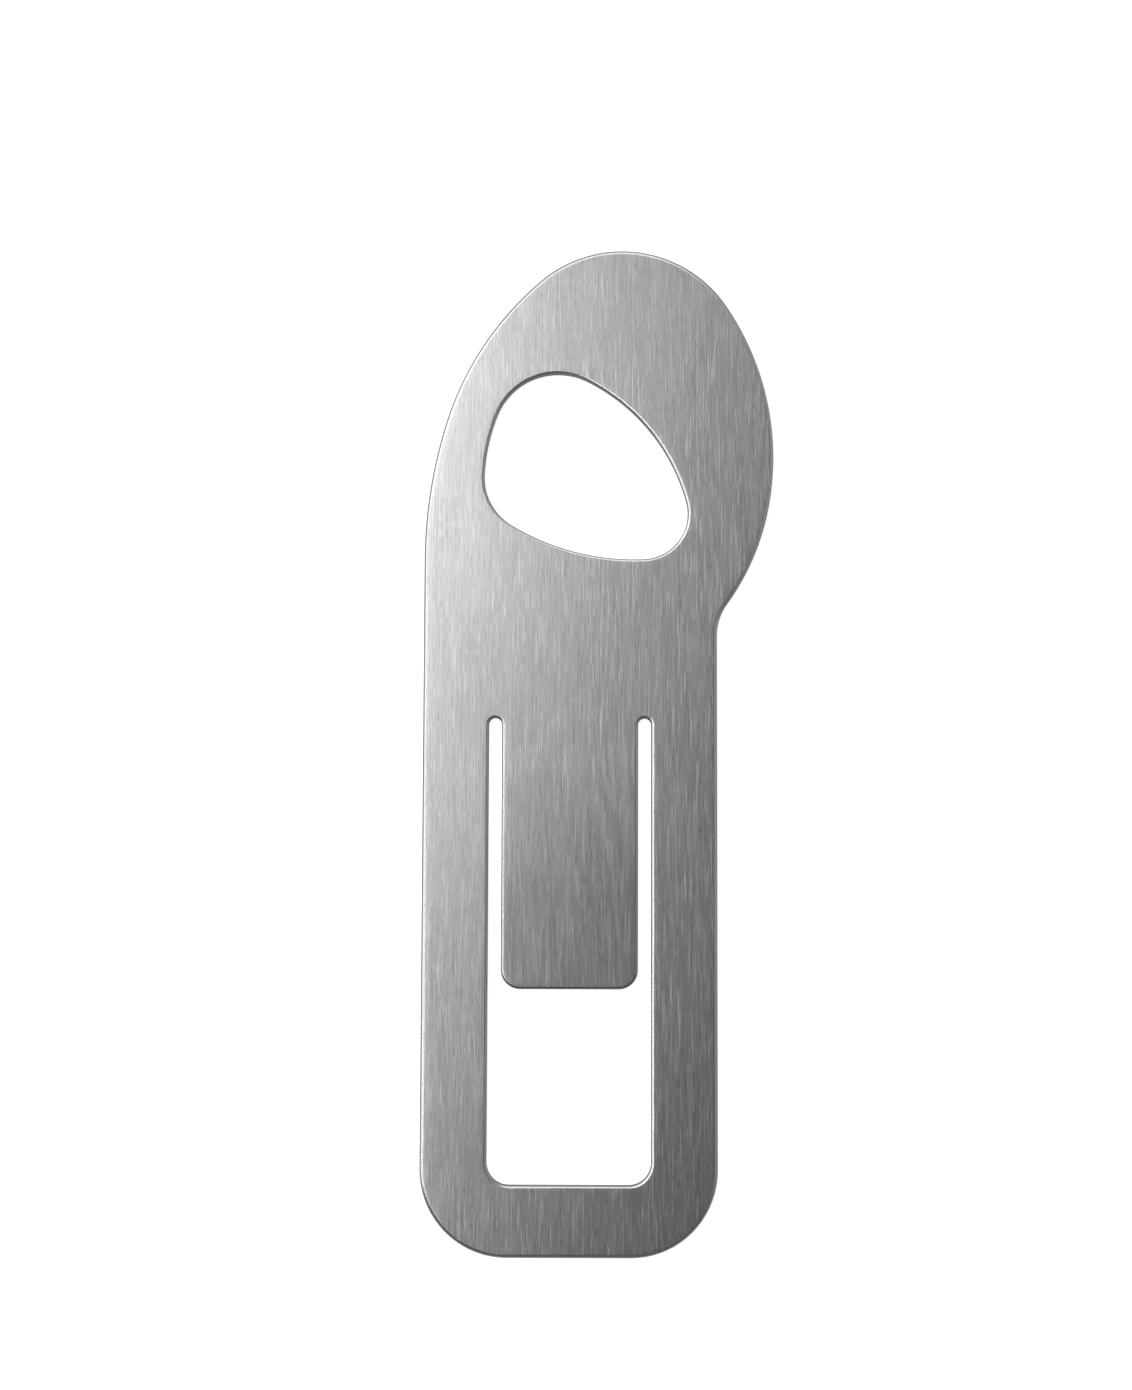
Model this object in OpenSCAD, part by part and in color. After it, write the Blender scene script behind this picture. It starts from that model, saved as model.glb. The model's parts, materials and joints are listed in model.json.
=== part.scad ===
// Steel bookmark, stamped from one sheet: an egg-shaped head leaning right over a straight body,
// a finger hole in the head, and a spring tongue left standing in a long window.
// It lies on its back face, with the front face up and the head towards +Y.
// The origin is the middle of the outline's box, on the back face.

/* [Sheet] */
// Length from the foot to the top of the head
overall_l = 100; // [85:1:130]
// Width from the left side to the head's right side
overall_w = 34.9; // [33.5:0.1:37]
// Width of the straight body
body_w = 29.2; // [27:0.1:31]
// Thickness of the sheet
sheet_t = 1; // [0.6:0.1:1.5]
// Radius tumbled onto the outer edge, front and back
edge_r = 0.42; // [0.2:0.02:0.5]
// Radius on the edges of the finger hole, the window and the slots, which tumbling reaches less
cut_edge_r = 0.3; // [0.1:0.02:0.5]
// Radius of the two corners at the foot
foot_r = 8.5; // [4:0.5:12]

/* [Head outline] */
// Radius of the flank, where the left side starts to lean right
flank_r = 47; // [35:1:70]
// Radius of the crown, at the top of the head
crown_r = 12.6; // [11.5:0.1:13.5]
// Radius of the brow, at the head's right side
brow_r = 27.5; // [22:0.1:32]
// Radius of the jaw, from the brow down to the neck
jaw_r = 24.4; // [20:0.1:27]
// Radius of the hollow where the jaw meets the body
neck_r = 5.4; // [3:0.1:9]
// Direction from its centre in which the flank ends, in degrees from +X
flank_end = 163; // [160:1:166]
// Direction in which the shoulder turns into the crown
shoulder_end = 131; // [127:1:135]
// Direction in which the crown turns into the brow
crown_end = 34; // [28:1:40]
// Direction in which the brow turns into the jaw
brow_end = -12; // [-16:1:-6]

/* [Finger hole] */
// Radius of the hole's upper corner
hole_top_r = 6.5; // [5:0.1:8]
// Upper corner's centre, from the body's left side
hole_top_x = 13.3; // [12:0.1:14.5]
// Upper corner's centre, down from the top of the head
hole_top_y = 19.15; // [17:0.05:21]
// Radius of the hole's left corner
hole_left_r = 5.7; // [4.5:0.1:7]
// Left corner's centre, from the body's left side
hole_left_x = 11.65; // [10:0.05:13]
// Left corner's centre, down from the top of the head
hole_left_y = 23.1; // [22:0.1:25]
// Radius of the hole's right corner
hole_right_r = 4.6; // [3:0.1:6]
// Right corner's centre, from the body's left side
hole_right_x = 21.7; // [20:0.1:23]
// Right corner's centre, down from the top of the head
hole_right_y = 26.75; // [25:0.05:28]
// Radius of the hole's long side, under the brow
hole_brow_side_r = 19.3; // [15:0.1:40]
// Radius of the hole's short side, by the shoulder
hole_flank_side_r = 18.9; // [12:0.1:40]
// Radius of the hole's lower side
hole_lower_side_r = 23.5; // [18:0.1:60]

/* [Window and tongue] */
// Height of the closed bar at the foot
foot_bar = 7; // [4:0.5:12]
// Open length of the window below the tongue
window_l = 19; // [10:0.5:25]
// Radius of the window's two lower corners
window_r = 2.2; // [1:0.1:5]
// Length of the tongue, from the ends of its slots to its tip
tongue_l = 26.7; // [20:0.1:30]
// Width of the tongue
tongue_w = 13.5; // [9:0.1:15]
// Radius of the tongue's two corners
tongue_r = 1.9; // [0.6:0.1:4]
// Width of the slot on each side of the tongue
slot_w = 1.3; // [0.8:0.1:2.5]
// Farthest that the tongue springs up, in degrees
flex_max = 5; // [1:0.5:8]
// Share of the tongue that stays with the sheet, up to the line that it bends about
root_share = 0.15; // [0.1:0.01:0.25]
// Clearance on that line when the tongue is bent farthest
flex_gap = 0.05; // [0.02:0.01:0.2]

/* [Hidden] */

// Share of the thickness that the tumbled radii stay under
edge_share = 0.45;
rim_r = min(edge_r, edge_share * sheet_t);
cut_rim_r = min(cut_edge_r, edge_share * sheet_t);
rim_steps = 3;
// How far every cut runs past the face that it opens
overrun = 1;
// Turn between two points of a long arc and of a small corner, in degrees
arc_turn = 3;
corner_turn = 7.5;

// Sides and ends of the outline
left_x = -overall_w / 2;
right_x = left_x + body_w;
body_x = left_x + body_w / 2;
top_y = overall_l / 2;
foot_y = -overall_l / 2;

// The shoulder's radius is what brings the head out to the overall width
shoulder_r = (overall_w - flank_r * (1 + cos(flank_end)) - brow_r * (1 - cos(crown_end))
    + crown_r * (cos(shoulder_end) - cos(crown_end))) / (cos(shoulder_end) - cos(flank_end));

// Centres of the head's arcs, each moved on from the last so that the arcs stay tangent
crown_c = [left_x + flank_r, top_y - crown_r]
    + [(flank_r - shoulder_r) * cos(flank_end) + (shoulder_r - crown_r) * cos(shoulder_end), 0];
shoulder_c = crown_c - (shoulder_r - crown_r) * heading(shoulder_end);
flank_c = shoulder_c - (flank_r - shoulder_r) * heading(flank_end);
brow_c = crown_c + (crown_r - brow_r) * heading(crown_end);
jaw_c = brow_c + (brow_r - jaw_r) * heading(brow_end);

// The neck's hollow touches the jaw and the body's right side
neck_x = right_x + neck_r;
neck_c = [neck_x, jaw_c.y - sqrt((jaw_r + neck_r) ^ 2 - (neck_x - jaw_c.x) ^ 2)];
jaw_end = atan2(neck_c.y - jaw_c.y, neck_c.x - jaw_c.x);

// Centres of the finger hole's corners
hole_top_c = [left_x + hole_top_x, top_y - hole_top_y];
hole_left_c = [left_x + hole_left_x, top_y - hole_left_y];
hole_right_c = [left_x + hole_right_x, top_y - hole_right_y];

// Places along the window and the tongue
slot_r = slot_w / 2;
tongue_x = tongue_w / 2;
window_x = tongue_x + slot_w;
window_y = foot_y + foot_bar;
tip_y = window_y + window_l;
slot_y = tip_y + tongue_l;
pivot_y = slot_y - root_share * tongue_l;
split_gap = sheet_t / 2 * tan(flex_max) + flex_gap;

// Direction at an angle from +X
function heading(angle) = [cos(angle), sin(angle)];

// An arc is its centre, its radius, the first and last angle of its outward normal, and its
// number of steps. A hollow one has a negative radius.
function long_arc(centre, radius, from, to) =
    [centre, radius, from, to, ceil(abs(to - from) / arc_turn)];
function corner(centre, radius, from, to) =
    [centre, radius, from, to, ceil(abs(to - from) / corner_turn)];

// A point of an arc, moved in from the outline by inset
function arc_point(arc, step, inset) =
    arc[0] + (arc[1] - inset) * heading(arc[2] + (arc[3] - arc[2]) * step / arc[4]);

// Two arcs touch where the next one starts on the last one's end, and that point is kept once
function touches(arc, next) =
    norm(arc_point(arc, arc[4], 0) - arc_point(next, 0, 0)) < abs(slot_r) / 1000;

// Points of a closed chain of arcs and the straight lines between them
function walk(arcs, inset) = [
    for (n = [0 : len(arcs) - 1])
        let (arc = arcs[n], next = arcs[(n + 1) % len(arcs)])
            for (step = [0 : arc[4] - (touches(arc, next) ? 1 : 0)])
                arc_point(arc, step, inset)
];

// The arc that wraps two corners from outside, tangent to both
function side_arc(first_c, first_r, last_c, last_r, side_r) =
    let (
        along = last_c - first_c,
        span = norm(along),
        first_d = side_r - first_r,
        last_d = side_r - last_r,
        reach = (first_d ^ 2 - last_d ^ 2 + span ^ 2) / (2 * span),
        across = [-along.y, along.x] / span,
        centre = first_c + along / span * reach + across * sqrt(first_d ^ 2 - reach ^ 2),
        from = atan2(first_c.y - centre.y, first_c.x - centre.x),
        to = atan2(last_c.y - centre.y, last_c.x - centre.x)
    )
    long_arc(centre, side_r, from, to < from ? to + 360 : to);

// The corner between two side arcs, turning on from the first to the second
function corner_between(centre, radius, before, after) =
    let (from = before[3], to = after[2])
    corner(centre, radius, from, to < from ? to + 360 : to > from + 360 ? to - 360 : to);

// Outline of the whole sheet, from the left foot corner round to the flank
sheet_arcs = [
    corner([left_x + foot_r, foot_y + foot_r], foot_r, 180, 270),
    corner([right_x - foot_r, foot_y + foot_r], foot_r, 270, 360),
    corner(neck_c, -neck_r, 0, jaw_end),
    long_arc(jaw_c, jaw_r, jaw_end, brow_end),
    long_arc(brow_c, brow_r, brow_end, crown_end),
    long_arc(crown_c, crown_r, crown_end, shoulder_end),
    long_arc(shoulder_c, shoulder_r, shoulder_end, flank_end),
    long_arc(flank_c, flank_r, flank_end, 180)
];

// Outline of the finger hole: three corners and the three bowed sides that wrap them
brow_side = side_arc(hole_right_c, hole_right_r, hole_top_c, hole_top_r, hole_brow_side_r);
flank_side = side_arc(hole_top_c, hole_top_r, hole_left_c, hole_left_r, hole_flank_side_r);
lower_side = side_arc(hole_left_c, hole_left_r, hole_right_c, hole_right_r, hole_lower_side_r);
hole_arcs = [
    brow_side,
    corner_between(hole_top_c, hole_top_r, brow_side, flank_side),
    flank_side,
    corner_between(hole_left_c, hole_left_r, flank_side, lower_side),
    lower_side,
    corner_between(hole_right_c, hole_right_r, lower_side, brow_side)
];

// Outline of the window and its two slots, which wrap the tongue like a U
window_arcs = [
    corner([body_x - tongue_x - slot_r, slot_y - slot_r], slot_r, 90, 180),
    corner([body_x - window_x + window_r, window_y + window_r], window_r, 180, 270),
    corner([body_x + window_x - window_r, window_y + window_r], window_r, 270, 360),
    corner([body_x + tongue_x + slot_r, slot_y - slot_r], slot_r, 0, 90),
    corner([body_x + tongue_x + slot_r, slot_y - slot_r], slot_r, 90, 180),
    corner([body_x + tongue_x - tongue_r, tip_y + tongue_r], -tongue_r, 180, 90),
    corner([body_x - tongue_x + tongue_r, tip_y + tongue_r], -tongue_r, 90, 0),
    corner([body_x - tongue_x - slot_r, slot_y - slot_r], slot_r, 0, 90)
];

// Levels of an edge of this radius, from the back face to the front: how high, and how far in
function edge_levels(radius) = [
    for (side = [-1, 1], step = [0 : rim_steps])
        let (angle = 90 * (side < 0 ? rim_steps - step : step) / rim_steps)
            [sheet_t / 2 + side * (sheet_t / 2 - radius + radius * sin(angle)),
             radius * (1 - cos(angle))]
];
// Levels of a cut: its edge flares outwards, then runs straight past both faces
cut_levels = concat(
    [[-overrun, -cut_rim_r]],
    [for (level = edge_levels(cut_rim_r)) [level[0], -level[1]]],
    [[sheet_t + overrun, -cut_rim_r]]
);

// A solid through one outline at several levels. Its two flat ends are laddered, rung by rung,
// from the outline's first point to the point halfway round.
module loft(arcs, levels) {
    rings = [for (level = levels) walk(arcs, level[1])];
    size = len(rings[0]);
    last = len(levels) - 1;
    points = [for (k = [0 : last], p = rings[k]) [p.x, p.y, levels[k][0]]];
    walls = [
        for (k = [0 : last - 1], i = [0 : size - 1])
            let (a = k * size + i, b = k * size + (i + 1) % size)
                each [[a, a + size, b + size], [a, b + size, b]]
    ];
    half = floor(size / 2);
    rungs = [
        for (i = [0 : half - 1])
            let (f = i, g = i + 1, b = (size - i) % size, c = size - i - 1)
                each [if (g != c) [f, g, c], if (f != b) [f, c, b]]
    ];
    top_rungs = [for (r = rungs) [for (v = [r[2], r[1], r[0]]) v + last * size]];
    polyhedron(points, concat(walls, rungs, top_rungs), convexity = 6);
}

// The sheet as it is stamped and tumbled, in one piece
module sheet() {
    difference() {
        loft(sheet_arcs, edge_levels(rim_r));
        loft(hole_arcs, cut_levels);
        loft(window_arcs, cut_levels);
    }
}

// Space round the moving part of the tongue, up to the line that it bends about
module tongue_space(gap) {
    translate([body_x - tongue_x - slot_r, tip_y - window_l / 2, -overrun])
        cube([tongue_w + slot_w, pivot_y + gap - tip_y + window_l / 2, sheet_t + 2 * overrun]);
}

// Head, finger hole and the frame round the window, with the tongue's root
module bookmark_plate() {
    color([0.66, 0.66, 0.66])
        difference() {
            sheet();
            tongue_space(split_gap / 2);
        }
}

// The springing part of the tongue
module spring_tongue() {
    color([0.62, 0.62, 0.62])
        intersection() {
            sheet();
            tongue_space(-split_gap / 2);
        }
}

bookmark_plate();
spring_tongue();
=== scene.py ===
import json
import math

import bpy
from mathutils import Matrix, Vector
from mathutils.geometry import tessellate_polygon


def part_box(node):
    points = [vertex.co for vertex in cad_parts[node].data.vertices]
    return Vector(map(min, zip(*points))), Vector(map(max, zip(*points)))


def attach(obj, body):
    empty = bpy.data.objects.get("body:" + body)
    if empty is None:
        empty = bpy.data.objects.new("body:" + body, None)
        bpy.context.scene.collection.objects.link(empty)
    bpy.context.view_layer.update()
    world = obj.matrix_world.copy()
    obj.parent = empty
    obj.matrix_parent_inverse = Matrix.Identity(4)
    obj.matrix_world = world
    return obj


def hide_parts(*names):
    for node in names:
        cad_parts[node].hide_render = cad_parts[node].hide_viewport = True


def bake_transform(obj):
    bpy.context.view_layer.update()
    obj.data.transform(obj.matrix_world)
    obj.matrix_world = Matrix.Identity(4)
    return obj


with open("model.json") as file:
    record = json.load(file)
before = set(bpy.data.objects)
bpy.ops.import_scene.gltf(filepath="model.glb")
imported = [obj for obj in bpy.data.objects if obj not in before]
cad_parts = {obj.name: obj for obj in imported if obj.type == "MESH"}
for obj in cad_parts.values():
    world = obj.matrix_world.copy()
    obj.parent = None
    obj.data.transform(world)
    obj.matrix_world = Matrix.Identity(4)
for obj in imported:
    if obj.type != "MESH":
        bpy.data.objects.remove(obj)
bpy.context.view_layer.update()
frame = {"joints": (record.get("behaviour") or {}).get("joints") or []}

# The bookmark is one sheet of brushed steel. Two pieces show it: the sheet with the root of its
# tongue, and the springing part of the tongue, which carry on from each other at the bending line.
# Lengths are in metres and angles in degrees. The head points to +Y, and the front faces +Z.

MM = 0.001

# Sizes and places that the frame gives
plate_low, plate_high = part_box("bookmark_plate")
tongue_low, tongue_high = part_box("spring_tongue")
LEFT_X, FOOT_Y = plate_low[0], plate_low[1]
HEAD_X, TOP_Y = plate_high[0], plate_high[1]
SHEET_T = plate_high[2] - plate_low[2]
BODY_X = (tongue_low[0] + tongue_high[0]) / 2
TONGUE_HALF = (tongue_high[0] - tongue_low[0]) / 2
TIP_Y = tongue_low[1]
BEND_Y = frame["joints"][0]["pos_m"][1]

# Sizes of the sheet. Its outer rim is tumbled rounder than those of its cuts, and inside each rim
# the faces still roll over slightly.
RIM_R, CUT_RIM_R = 0.42 * MM, 0.3 * MM
ROLL_W, ROLL_TILT, ROLL_STEPS = 0.6 * MM, 0.8, 3
BODY_W = 29.2 * MM
RIGHT_X = LEFT_X + BODY_W
FOOT_R = 8.5 * MM

# Radii of the head's outline, and the directions in which one arc turns into the next
FLANK_R, CROWN_R, BROW_R, JAW_R, NECK_R = 47 * MM, 12.6 * MM, 27.5 * MM, 24.4 * MM, 5.4 * MM
FLANK_END, SHOULDER_END, CROWN_END, BROW_END = 163, 131, 34, -12

# Corners of the finger hole: centre from the left side, centre down from the top, radius
HOLE_TOP = (13.3 * MM, 19.15 * MM, 6.5 * MM)
HOLE_LEFT = (11.65 * MM, 23.1 * MM, 5.7 * MM)
HOLE_RIGHT = (21.7 * MM, 26.75 * MM, 4.6 * MM)
HOLE_BROW_SIDE_R, HOLE_FLANK_SIDE_R, HOLE_LOWER_SIDE_R = 19.3 * MM, 18.9 * MM, 23.5 * MM

# Window and tongue
FOOT_BAR = 7 * MM
TONGUE_L = 26.7 * MM
WINDOW_R, TONGUE_R, SLOT_W = 2.2 * MM, 1.9 * MM, 1.3 * MM

# Fineness of the meshes: degrees a step on long arcs, on small corners and on the finger hole's
# corners, steps round an edge, and length of the rows across the tongue
ARC_TURN, CORNER_TURN, HOLE_CORNER_TURN = 1.0, 5.0, 2.5
RIM_STEPS = 8
ROW_L = 0.6 * MM
# Points of an outline that are closer than this are one point
SAME_POINT = 0.01 * CUT_RIM_R
# The two faces of a shell: the ring that bounds each, and whether it faces up
BACK_AND_FRONT = ((0, False), (-1, True))

# Brushed finish. Each kind of line has its width, its length and its share of the grain.
GRAIN = (
    (0.08 * MM, 0.8 * MM, 0.34),
    (0.08 * MM, 3.2 * MM, 0.33),
    (0.1 * MM, 14 * MM, 0.25),
    (2.5 * MM, 12 * MM, 0.08),
)
# How far apart neighbouring lines may start, in lengths of a line
LINE_SHIFT = 2
# How far the lines wander sideways, and over what length
WANDER, WANDER_L = 0.05 * MM, 4 * MM
# Scratches are the crests of one more kind of line: its width and length, the range of its noise
# that counts as a crest, and its share of the grain
SCRATCH_W, SCRATCH_L = 0.1 * MM, 4 * MM
SCRATCH_CREST, SCRATCH_SHARE = (0.65, 0.75), 0.3
# The sum of all the lines fills this range
GRAIN_SPAN = (0.33, 0.76)
GRAIN_DEPTH = 0.0026 * MM
# Colour of the steel in the lowest and the highest part of the grain
STEEL_DARK, STEEL_LIGHT = (0.403, 0.396, 0.399), (0.81, 0.796, 0.801)
# Roughness in the middle of the grain, and how much it varies over the whole of it
ROUGH, ROUGH_RANGE = 0.284, 0.018
# How far the brushing draws highlights out across itself
ANISOTROPY = 0.43
# The tumbled rim is smoother than the faces, and has the grain's middle tone
RIM_ROUGH, RIM_TONE = 0.22, 0.42
# Painted shade darkens the tongue towards its tip, standing in for its darker reflection. The walls
# are darker
# than the rims: partly duller sheared steel, partly painted shade for the shadowed floor they mirror
TIP_PAINTED_SHADE, WALL_DULLING_AND_SHADE = 0.19, 0.25
# Where each of these sets in and where it is complete: the rim and the wall by the edge share, and
# the tip by the tip share
RIM_FADE, WALL_FADE, TIP_FADE = (0.04, 0.2), (0.42, 0.6), (0, 0.6)

# Studio: a large soft box at the head, one at the left, and a narrow strip overhead. Each has its
# azimuth from +X, its elevation and its turn, its distance, its width and height, and its radiance.
SOFT_BOXES = {
    "overhead": (181, 73.3, -19, 0.5, 0.43, 0.09, 4.2),
    "head_side": (108, 42.3, 0, 0.7, 0.85, 0.61, 1.2),
    "left_side": (168, 33.5, 0, 0.7, 0.83, 0.54, 1.5),
}
WHITE, BLACK = (1, 1, 1), (0, 0, 0)
# The room that the steel mirrors is dark overhead and pale at the horizon, less so on the foot's side
ROOM_OVERHEAD, ROOM_HORIZON, ROOM_FOOT = 0.01, 0.44, 0.16
# Where the room changes, by the Y and the Z of the direction that a ray goes in
FOOT_TO_SIDE, HORIZON_TO_OVERHEAD = (-0.5, 0), (0.76, 0.98)
# Half the floor's side, and the gap between the floor and the sheet
FLOOR_HALF = 2.0
FLOOR_GAP = 0.02 * MM
FLOOR_COLOUR = (0.5, 0.5, 0.5)
# What lifts the floor where it is seen, and where the steel mirrors it
FLOOR_LIFT, FLOOR_MIRROR_LIFT = 0.88, 0.06
# A ray this short comes from the sheet's own back
BACK_RAY_L = 0.1 * MM
# The photograph's camera: its place, its tilt and roll, its lens in millimetres and its near limit
CAMERA_AT = Vector((-3.27, -9.19, 199.0)) * MM
CAMERA_TILT, CAMERA_ROLL = 4.1, 0.2
CAMERA_LENS = 51.8
CAMERA_NEAR = CAMERA_AT.z / 10


def sine(angle):
    """The sine of an angle in degrees."""
    return math.sin(math.radians(angle))


def cosine(angle):
    """The cosine of an angle in degrees."""
    return math.cos(math.radians(angle))


def heading(angle):
    """The direction at an angle from +X."""
    return Vector((cosine(angle), sine(angle)))


def arc(centre, radius, start, end, turn):
    """An arc of an outline, from one direction of its outward normal to another.

    Each point is its centre, its radius and its direction. A hollow arc has a negative radius."""
    steps = max(1, math.ceil(abs(end - start) / turn))
    return [(Vector(centre), radius, start + (end - start) * i / steps) for i in range(steps + 1)]


def chain(*arcs):
    """Arcs joined into one closed outline. A point that two of them share is kept once."""
    points = [point for one in arcs for point in one]
    place = [centre + radius * heading(angle) for centre, radius, angle in points]
    return [p for i, p in enumerate(points) if (place[i] - place[i - 1]).length > SAME_POINT]


def sheet_outline():
    """The whole sheet's outline, counterclockwise from the left foot corner.

    The shoulder's radius follows from the whole width, and the crown's top from the whole length."""
    flank_share = FLANK_R * (1 + cosine(FLANK_END))
    brow_share = BROW_R * (1 - cosine(CROWN_END))
    crown_share = CROWN_R * (cosine(SHOULDER_END) - cosine(CROWN_END))
    shoulder_r = HEAD_X - LEFT_X - flank_share - brow_share + crown_share
    shoulder_r /= cosine(SHOULDER_END) - cosine(FLANK_END)
    crown_x = (LEFT_X + FLANK_R + (FLANK_R - shoulder_r) * cosine(FLANK_END)
               + (shoulder_r - CROWN_R) * cosine(SHOULDER_END))
    crown = Vector((crown_x, TOP_Y - CROWN_R))
    shoulder = crown - (shoulder_r - CROWN_R) * heading(SHOULDER_END)
    flank = shoulder - (FLANK_R - shoulder_r) * heading(FLANK_END)
    brow = crown + (CROWN_R - BROW_R) * heading(CROWN_END)
    jaw = brow + (BROW_R - JAW_R) * heading(BROW_END)
    neck_x = RIGHT_X + NECK_R
    neck = Vector((neck_x, jaw.y - math.sqrt((JAW_R + NECK_R) ** 2 - (neck_x - jaw.x) ** 2)))
    jaw_end = math.degrees(math.atan2(neck.y - jaw.y, neck.x - jaw.x))
    return chain(
        arc((LEFT_X + FOOT_R, FOOT_Y + FOOT_R), FOOT_R, 180, 270, CORNER_TURN),
        arc((RIGHT_X - FOOT_R, FOOT_Y + FOOT_R), FOOT_R, 270, 360, CORNER_TURN),
        arc(neck, -NECK_R, 0, jaw_end, CORNER_TURN),
        arc(jaw, JAW_R, jaw_end, BROW_END, ARC_TURN),
        arc(brow, BROW_R, BROW_END, CROWN_END, ARC_TURN),
        arc(crown, CROWN_R, CROWN_END, SHOULDER_END, ARC_TURN),
        arc(shoulder, shoulder_r, SHOULDER_END, FLANK_END, ARC_TURN),
        arc(flank, FLANK_R, FLANK_END, 180, ARC_TURN),
    )


def wrap(first, last, radius):
    """The bowed side that wraps two corners of the finger hole from outside.

    It is the centre and radius of an arc, and the angles at which it starts and ends."""
    (a, a_r), (b, b_r) = first, last
    along = b - a
    span = along.length
    reach = ((radius - a_r) ** 2 - (radius - b_r) ** 2 + span ** 2) / (2 * span)
    across = Vector((-along.y, along.x)) / span
    centre = a + along / span * reach + across * math.sqrt((radius - a_r) ** 2 - reach ** 2)
    angles = [math.degrees(math.atan2(p.y - centre.y, p.x - centre.x)) for p in (a, b)]
    return centre, radius, angles[0], angles[1] + (360 if angles[1] < angles[0] else 0)


def hole_outline():
    """The finger hole's outline: three corners and three bowed sides, counterclockwise."""
    rounds = (HOLE_RIGHT, HOLE_TOP, HOLE_LEFT)
    corners = [(Vector((LEFT_X + x, TOP_Y - y)), radius) for x, y, radius in rounds]
    radii = (HOLE_BROW_SIDE_R, HOLE_FLANK_SIDE_R, HOLE_LOWER_SIDE_R)
    sides = [wrap(corners[i], corners[(i + 1) % 3], radii[i]) for i in range(3)]
    arcs = []
    for i in range(3):
        before, after = sides[i - 1], sides[i]
        start, turn = before[3], (after[2] - before[3]) % 360
        arcs.append(arc(*corners[i], start, start + turn, HOLE_CORNER_TURN))
        arcs.append(arc(*after, ARC_TURN))
    return chain(*arcs)


def window_outline():
    """The window, its slots and the tongue's root, as far as the bending line, counterclockwise.

    The first and last points are the two ends of the bending line."""
    slot_r = SLOT_W / 2
    slot_y = TIP_Y + TONGUE_L - slot_r
    window_half = TONGUE_HALF + SLOT_W
    corner_y = FOOT_Y + FOOT_BAR + WINDOW_R
    left_slot = (BODY_X - TONGUE_HALF - slot_r, slot_y)
    right_slot = (BODY_X + TONGUE_HALF + slot_r, slot_y)
    return chain(
        [(Vector((left_slot[0], BEND_Y)), slot_r, 0)],
        arc(left_slot, slot_r, 0, 180, CORNER_TURN),
        arc((BODY_X - window_half + WINDOW_R, corner_y), WINDOW_R, 180, 270, CORNER_TURN),
        arc((BODY_X + window_half - WINDOW_R, corner_y), WINDOW_R, 270, 360, CORNER_TURN),
        arc(right_slot, slot_r, 0, 180, CORNER_TURN),
        [(Vector((right_slot[0], BEND_Y)), slot_r, 180)],
    )


def tongue_outline():
    """The springing part of the tongue, counterclockwise from the bending line's left end.

    Its straight sides have a point at every row, so that the tongue can bend."""
    rows = math.ceil((BEND_Y - TIP_Y - TONGUE_R) / ROW_L)
    side = [BEND_Y + (TIP_Y + TONGUE_R - BEND_Y) * i / rows for i in range(rows)]
    left_x, right_x = BODY_X - TONGUE_HALF + TONGUE_R, BODY_X + TONGUE_HALF - TONGUE_R
    return chain(
        [(Vector((left_x, y)), TONGUE_R, 180) for y in side],
        arc((left_x, TIP_Y + TONGUE_R), TONGUE_R, 180, 270, CORNER_TURN),
        arc((right_x, TIP_Y + TONGUE_R), TONGUE_R, 270, 360, CORNER_TURN),
        [(Vector((right_x, y)), TONGUE_R, 0) for y in reversed(side)],
    )


def edge_profile(rim_r):
    """The rounded edge, in rows from the back face to the front.

    Each row is a level, a distance in from the outline, the normal's tilt and the length so far."""
    middle = SHEET_T / 2
    roll_drop = ROLL_W * math.radians(ROLL_TILT) / 2
    wall_half = middle - roll_drop - rim_r * cosine(ROLL_TILT)
    quarter = rim_r * math.pi / 2
    front = []
    for step in range(RIM_STEPS + 1):
        tilt = (90 - ROLL_TILT) * step / RIM_STEPS
        inset = rim_r * (1 - cosine(tilt))
        front.append((wall_half + rim_r * sine(tilt), inset, tilt, quarter * (1 - tilt / 90)))
    rolled = front[-1][1]
    for step in range(1, ROLL_STEPS + 1):
        left = 1 - step / ROLL_STEPS
        inset = rolled + ROLL_W * (1 - left)
        front.append((middle - roll_drop * left ** 2, inset, 90 - ROLL_TILT * left, rim_r - inset))
    around = 2 * (quarter + wall_half)
    back = [(-level, inset, -tilt, around - length)
            for level, inset, tilt, length in reversed(front)]
    return [(middle + level, inset, tilt, length) for level, inset, tilt, length in back + front]


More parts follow.
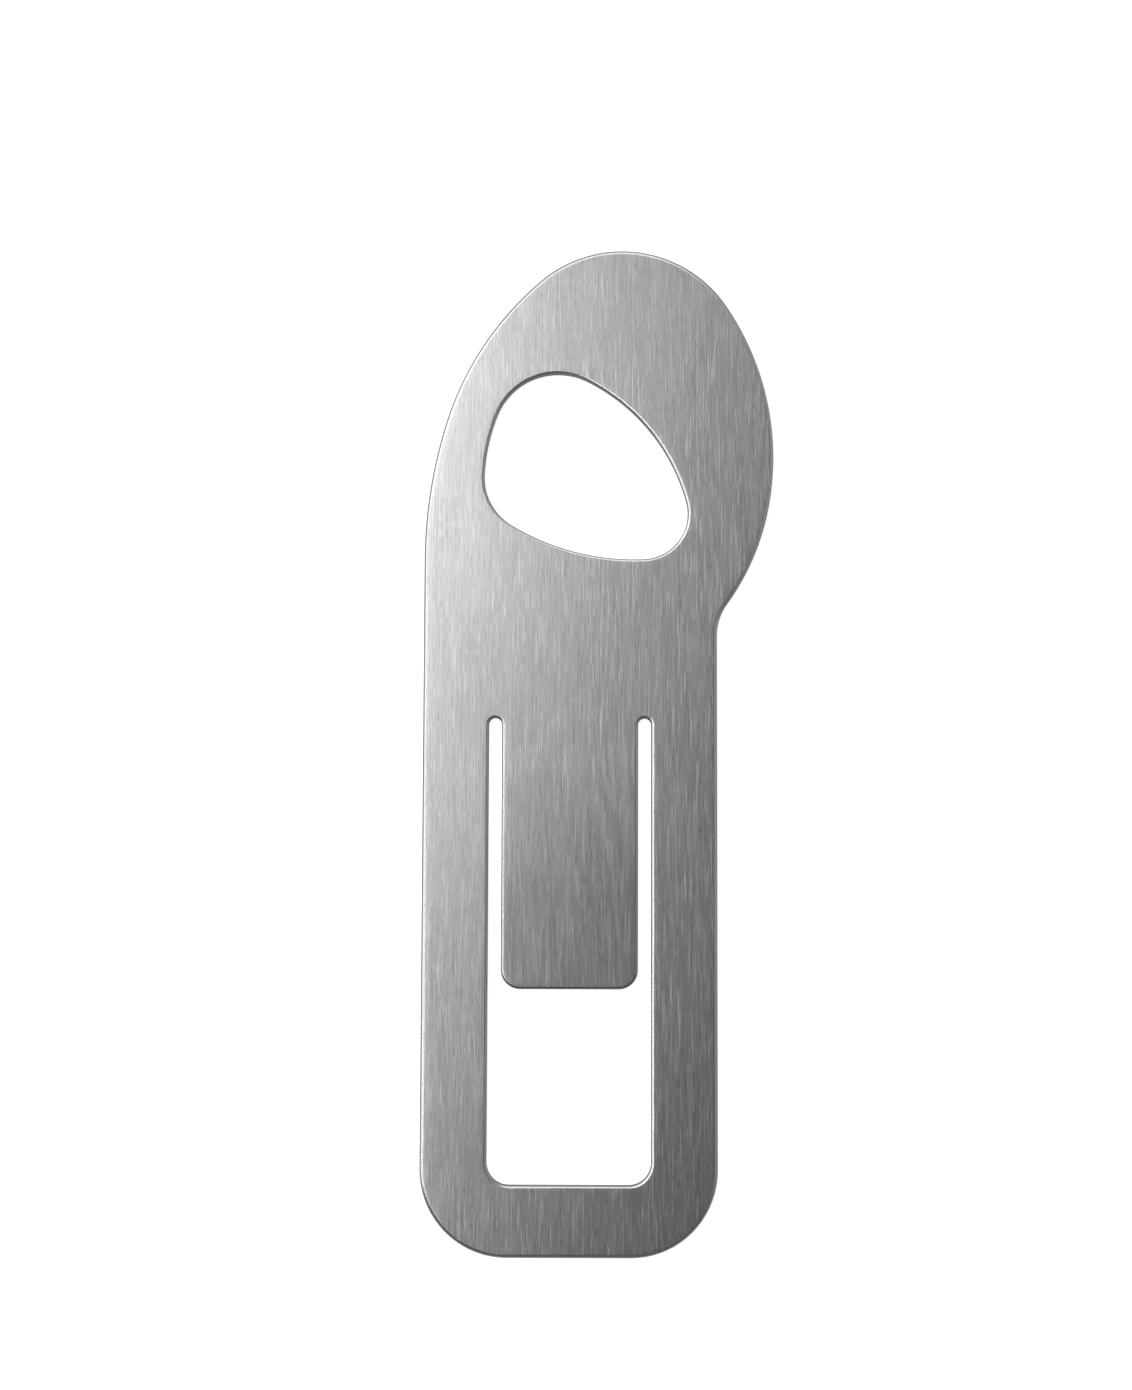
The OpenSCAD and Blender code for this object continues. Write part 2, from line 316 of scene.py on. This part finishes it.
class Shell:
    """A closed mesh whose edge is rounded.

    Each vertex has its normal, its place in the grain, and two shares that the finish follows: the
    edge share is 0 on a face and 1 on the wall, and the tip share 0 at the tongue's bend and 1 at
    its tip."""

    def __init__(self, tip_share=lambda place: 0):
        self.tip_share = tip_share
        self.verts, self.normals, self.faces = [], [], []
        self.grain, self.edge, self.tip = [], [], []

    def ring(self, outline, rim_r, row, into):
        """One level of an edge. The outline is a hole's where into is -1."""
        level, inset, tilt, length = row
        first = len(self.verts)
        for centre, radius, angle in outline:
            out = heading(angle)
            place = centre + (radius - into * inset) * out
            face_line = centre + (radius + into * (length - rim_r)) * out
            normal = into * cosine(tilt) * out
            self.verts.append((place.x, place.y, level))
            self.normals.append((normal.x, normal.y, sine(tilt)))
            self.grain.append((face_line.x, face_line.y))
            self.edge.append(1 - abs(tilt) / 90)
            self.tip.append(self.tip_share(place))
        return list(range(first, len(self.verts)))

    def edge_band(self, outline, rim_r, into=1, closed=True):
        """The whole rounded edge along an outline, as rings from the back face to the front."""
        rings = [self.ring(outline, rim_r, row, into) for row in edge_profile(rim_r)]
        count = len(outline)
        for low, high in zip(rings, rings[1:]):
            for i in range(count if closed else count - 1):
                j = (i + 1) % count
                face = [low[i], low[j], high[j], high[i]]
                self.faces.append(face if into > 0 else face[::-1])
        return rings

    def flat(self, loops, up):
        """A flat face, facing up or down. Its loops are its outline and then its holes."""
        rings = [[Vector(self.verts[v]) for v in loop] for loop in loops]
        order = [v for loop in loops for v in loop]
        for a, b, c in tessellate_polygon(rings):
            p, q, r = (Vector(self.verts[order[k]]) for k in (a, b, c))
            turned = (q - p).cross(r - p).z > 0
            face = [order[a], order[b], order[c]]
            self.faces.append(face if turned == up else face[::-1])

    def build(self, name):
        """The finished object, with a smooth surface that follows the true normals."""
        mesh = bpy.data.meshes.new(name)
        mesh.from_pydata(self.verts, [], self.faces)
        mesh.polygons.foreach_set("use_smooth", [True] * len(mesh.polygons))
        uv = mesh.uv_layers.new(name="grain")
        for share, values in (("edge_share", self.edge), ("tip_share", self.tip)):
            mesh.attributes.new(share, "FLOAT", "POINT").data.foreach_set("value", values)
        for face in mesh.polygons:
            is_flat = all(self.edge[v] == 0 for v in face.vertices)
            for corner, v in zip(face.loop_indices, face.vertices):
                uv.data[corner].uv = self.verts[v][:2] if is_flat else self.grain[v]
        mesh.normals_split_custom_set_from_vertices(self.normals)
        mesh.update()
        piece = bpy.data.objects.new(name, mesh)
        bpy.context.collection.objects.link(piece)
        return piece


def bending_face(shell, rings, facing):
    """The hidden end face at the bending line, between an edge band's first and last points."""
    left, right = [ring[0] for ring in rings], [ring[-1] for ring in rings]
    face = left + right[::-1]
    shell.faces.append(face if facing > 0 else face[::-1])


def make_sheet():
    """The head, the finger hole, the frame round the window and the tongue's root."""
    shell = Shell()
    outer = shell.edge_band(sheet_outline(), RIM_R)
    hole = shell.edge_band(hole_outline(), CUT_RIM_R, into=-1)
    window = shell.edge_band(window_outline(), CUT_RIM_R, into=-1, closed=False)
    for k, up in BACK_AND_FRONT:
        shell.flat([outer[k], hole[k], window[k]], up)
    bending_face(shell, window, -1)
    return shell.build("sheet_body")


def make_tongue():
    """The tongue from the bending line to its tip, with rows across it, so that it can bend."""
    shell = Shell(lambda place: (BEND_Y - place.y) / (BEND_Y - TIP_Y))
    rings = shell.edge_band(tongue_outline(), CUT_RIM_R, closed=False)
    half = len(rings[0]) // 2
    for k, up in BACK_AND_FRONT:
        ring = rings[k]
        for i in range(half - 1):
            face = [ring[i], ring[i + 1], ring[-2 - i], ring[-1 - i]]
            shell.faces.append(face if up else face[::-1])
    bending_face(shell, rings, 1)
    return shell.build("tongue_blade")


def add(tree, kind, inputs=None, **settings):
    """A shader node. Inputs are values, or sockets to link from."""
    made = tree.nodes.new(kind)
    for name, value in settings.items():
        setattr(made, name, value)
    for name, value in (inputs or {}).items():
        if isinstance(value, bpy.types.NodeSocket):
            tree.links.new(value, made.inputs[name])
        else:
            made.inputs[name].default_value = value
    return made


def math_node(tree, operation, first, second=0.0):
    """The result of one operation on two values or sockets."""
    made = add(tree, "ShaderNodeMath", {0: first, 1: second}, operation=operation)
    return made.outputs[0]


def spread(tree, value, low, high, to_low, to_high):
    """Value moved from one range to another, and kept in it."""
    ends = {"From Min": low, "From Max": high, "To Min": to_low, "To Max": to_high}
    made = add(tree, "ShaderNodeMapRange", {"Value": value, **ends})
    return made.outputs["Result"]


def noise(tree, space, inputs):
    """The value of smooth noise in this many dimensions, written 1D or 2D."""
    made = add(tree, "ShaderNodeTexNoise", inputs, noise_dimensions=space)
    return made.outputs["Fac"]


def streaks(tree, across, along, width, length):
    """Noise drawn out along the grain into lines of about this width and length.

    Each line starts at a place of its own."""
    line = math_node(tree, "DIVIDE", across, width)
    start = noise(tree, "1D", {"W": line, "Scale": 1, "Detail": 0})
    run = math_node(tree, "ADD", math_node(tree, "DIVIDE", along, length),
                    math_node(tree, "MULTIPLY", start, LINE_SHIFT))
    place = add(tree, "ShaderNodeCombineXYZ", {"X": line, "Y": run}).outputs[0]
    return noise(tree, "2D", {"Vector": place, "Scale": 1, "Detail": 1})


def mixed(tree, factor, low, high):
    """A colour between two colours, which are sockets or three numbers."""
    low, high = [(*c, 1) if isinstance(c, tuple) else c for c in (low, high)]
    # A Mix node has its two colours at 6 and 7, and their result at 2
    made = add(tree, "ShaderNodeMix", {0: factor, 6: low, 7: high}, data_type="RGBA")
    return made.outputs[2]


def blended(tree, factor, low, high):
    """A number between two numbers or sockets."""
    made = add(tree, "ShaderNodeMix", {0: factor, 2: low, 3: high})
    return made.outputs[0]


def grain_height(tree):
    """The brushed lines over the sheet, from 0 to 1."""
    place = add(tree, "ShaderNodeUVMap", uv_map="grain").outputs[0]
    axes = add(tree, "ShaderNodeSeparateXYZ", {0: place})
    drift = noise(tree, "2D", {"Vector": place, "Scale": 1 / WANDER_L, "Detail": 0})
    across = math_node(tree, "ADD", axes.outputs["X"], math_node(tree, "MULTIPLY", drift, WANDER))
    total = 0
    for width, length, share in GRAIN:
        lines = streaks(tree, across, axes.outputs["Y"], width, length)
        total = math_node(tree, "ADD", math_node(tree, "MULTIPLY", lines, share), total)
    crests = streaks(tree, across, axes.outputs["Y"], SCRATCH_W, SCRATCH_L)
    scratches = spread(tree, crests, *SCRATCH_CREST, 0, SCRATCH_SHARE)
    return spread(tree, math_node(tree, "ADD", total, scratches), *GRAIN_SPAN, 0, 1)


def brushed_steel():
    """Stainless steel brushed along the sheet, with a tumbled rim."""
    material = bpy.data.materials.new("brushed_steel")
    material.use_nodes = True
    tree = material.node_tree
    shader = tree.nodes["Principled BSDF"]
    edge = add(tree, "ShaderNodeAttribute", attribute_name="edge_share").outputs["Fac"]
    tip = add(tree, "ShaderNodeAttribute", attribute_name="tip_share").outputs["Fac"]
    rim = spread(tree, edge, *RIM_FADE, 0, 1)

    grain = grain_height(tree)
    calm = blended(tree, rim, grain, RIM_TONE)
    steel = mixed(tree, calm, STEEL_DARK, STEEL_LIGHT)
    # Painted shade: the base colour darkens towards the tongue's tip, and on the walls, where it is
    # partly the duller sheared steel and partly painted shade for the shadowed floor that they mirror
    dulling_and_shade = math_node(tree, "MAXIMUM", spread(tree, tip, *TIP_FADE, 0, TIP_PAINTED_SHADE),
                        spread(tree, edge, *WALL_FADE, 0, WALL_DULLING_AND_SHADE))
    tree.links.new(mixed(tree, dulling_and_shade, steel, BLACK), shader.inputs["Base Color"])

    brushed = spread(tree, calm, 0, 1, ROUGH - ROUGH_RANGE / 2, ROUGH + ROUGH_RANGE / 2)
    tree.links.new(blended(tree, rim, brushed, RIM_ROUGH), shader.inputs["Roughness"])

    shader.inputs["Metallic"].default_value = 1
    shader.inputs["Anisotropic"].default_value = ANISOTROPY
    tangent = add(tree, "ShaderNodeTangent", direction_type="UV_MAP", uv_map="grain")
    tree.links.new(tangent.outputs[0], shader.inputs["Tangent"])
    depth = spread(tree, rim, 0, 1, 1, 0)
    relief = {"Height": grain, "Strength": depth, "Distance": GRAIN_DEPTH}
    tree.links.new(add(tree, "ShaderNodeBump", relief).outputs[0], shader.inputs["Normal"])
    return material


def floor_material():
    """Matt grey, lifted to the backdrop's white where it is seen.

    It is clear from below, and clear to the back of the sheet, which a view from below shows."""
    material = bpy.data.materials.new("floor")
    material.use_nodes = True
    tree = material.node_tree
    tree.nodes.clear()
    matt = add(tree, "ShaderNodeBsdfDiffuse", {"Color": (*FLOOR_COLOUR, 1)})
    ray = add(tree, "ShaderNodeLightPath").outputs
    seen = math_node(tree, "MULTIPLY", ray["Is Camera Ray"], FLOOR_LIFT)
    bounced = math_node(tree, "MAXIMUM", ray["Is Glossy Ray"], ray["Is Transmission Ray"])
    mirrored = math_node(tree, "MULTIPLY", bounced, FLOOR_MIRROR_LIFT)
    lift = math_node(tree, "MAXIMUM", seen, mirrored)
    glow = add(tree, "ShaderNodeEmission", {"Strength": lift})
    lifted = add(tree, "ShaderNodeAddShader", {0: matt.outputs[0], 1: glow.outputs[0]})
    below = add(tree, "ShaderNodeNewGeometry").outputs["Backfacing"]
    from_sheet = math_node(tree, "LESS_THAN", ray["Ray Length"], BACK_RAY_L)
    let_through = math_node(tree, "MAXIMUM", below, from_sheet)
    clear = add(tree, "ShaderNodeBsdfTransparent")
    sides = {0: let_through, 1: lifted.outputs[0], 2: clear.outputs[0]}
    one_sided = add(tree, "ShaderNodeMixShader", sides)
    output = add(tree, "ShaderNodeOutputMaterial")
    tree.links.new(one_sided.outputs[0], output.inputs["Surface"])
    return material


def make_floor():
    """A square of floor close under the sheet."""
    mesh = bpy.data.meshes.new("floor")
    square = ((-1, -1), (1, -1), (1, 1), (-1, 1))
    corners = [(x * FLOOR_HALF, y * FLOOR_HALF, -FLOOR_GAP) for x, y in square]
    mesh.from_pydata(corners, [], [(0, 1, 2, 3)])
    mesh.materials.append(floor_material())
    floor = bpy.data.objects.new("floor", mesh)
    bpy.context.collection.objects.link(floor)


def soft_box(name, azimuth, elevation, spin, distance, width, height, radiance):
    """A rectangular lamp that faces the middle of the sheet, turned about its own axis by spin."""
    lamp = bpy.data.lights.new(name, "AREA")
    lamp.shape = "RECTANGLE"
    lamp.size, lamp.size_y = width, height
    lamp.energy = radiance * math.pi * width * height
    box = bpy.data.objects.new(name, lamp)
    reach = cosine(elevation)
    away = Vector((cosine(azimuth) * reach, sine(azimuth) * reach, sine(elevation)))
    level = Vector((-sine(azimuth), cosine(azimuth), 0))
    upright = Matrix((level, away.cross(level), away)).transposed()
    facing = upright @ Matrix.Rotation(math.radians(spin), 3, "Z")
    box.matrix_world = Matrix.Translation(away * distance) @ facing.to_4x4()
    box.visible_camera = False
    bpy.context.collection.objects.link(box)


def make_world():
    """The dark room that the steel mirrors, and plain white where the camera looks past the floor."""
    world = bpy.data.worlds.new("studio")
    world.use_nodes = True
    tree = world.node_tree
    way = add(tree, "ShaderNodeTexCoord").outputs["Generated"]
    axes = add(tree, "ShaderNodeSeparateXYZ", {0: way})
    horizon = spread(tree, axes.outputs["Y"], *FOOT_TO_SIDE, ROOM_FOOT, ROOM_HORIZON)
    height = spread(tree, axes.outputs["Z"], *HORIZON_TO_OVERHEAD, 0, 1)
    room = blended(tree, height, horizon, ROOM_OVERHEAD)
    seen = add(tree, "ShaderNodeLightPath").outputs["Is Camera Ray"]
    background = tree.nodes["Background"]
    background.inputs["Color"].default_value = (*WHITE, 1)
    tree.links.new(blended(tree, seen, room, 1), background.inputs["Strength"])
    bpy.context.scene.world = world


def make_camera():
    """The camera nearly straight above the sheet, as in the photograph."""
    camera = bpy.data.objects.new("camera", bpy.data.cameras.new("camera"))
    camera.data.lens = CAMERA_LENS
    camera.data.clip_start = CAMERA_NEAR
    tilt = Matrix.Rotation(math.radians(CAMERA_TILT), 4, "X")
    roll = Matrix.Rotation(math.radians(CAMERA_ROLL), 4, "Z")
    camera.matrix_world = Matrix.Translation(CAMERA_AT) @ (tilt @ roll)
    bpy.context.collection.objects.link(camera)
    bpy.context.scene.camera = camera


sheet_body = make_sheet()
tongue_blade = make_tongue()
steel = brushed_steel()
for piece in (sheet_body, tongue_blade):
    piece.data.materials.append(steel)
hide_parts("bookmark_plate")
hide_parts("spring_tongue")
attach(sheet_body, "sheet")
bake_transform(tongue_blade)

make_floor()
make_world()
for name, place in SOFT_BOXES.items():
    soft_box(name, *place)
make_camera()
bpy.context.scene.view_settings.view_transform = "Standard"
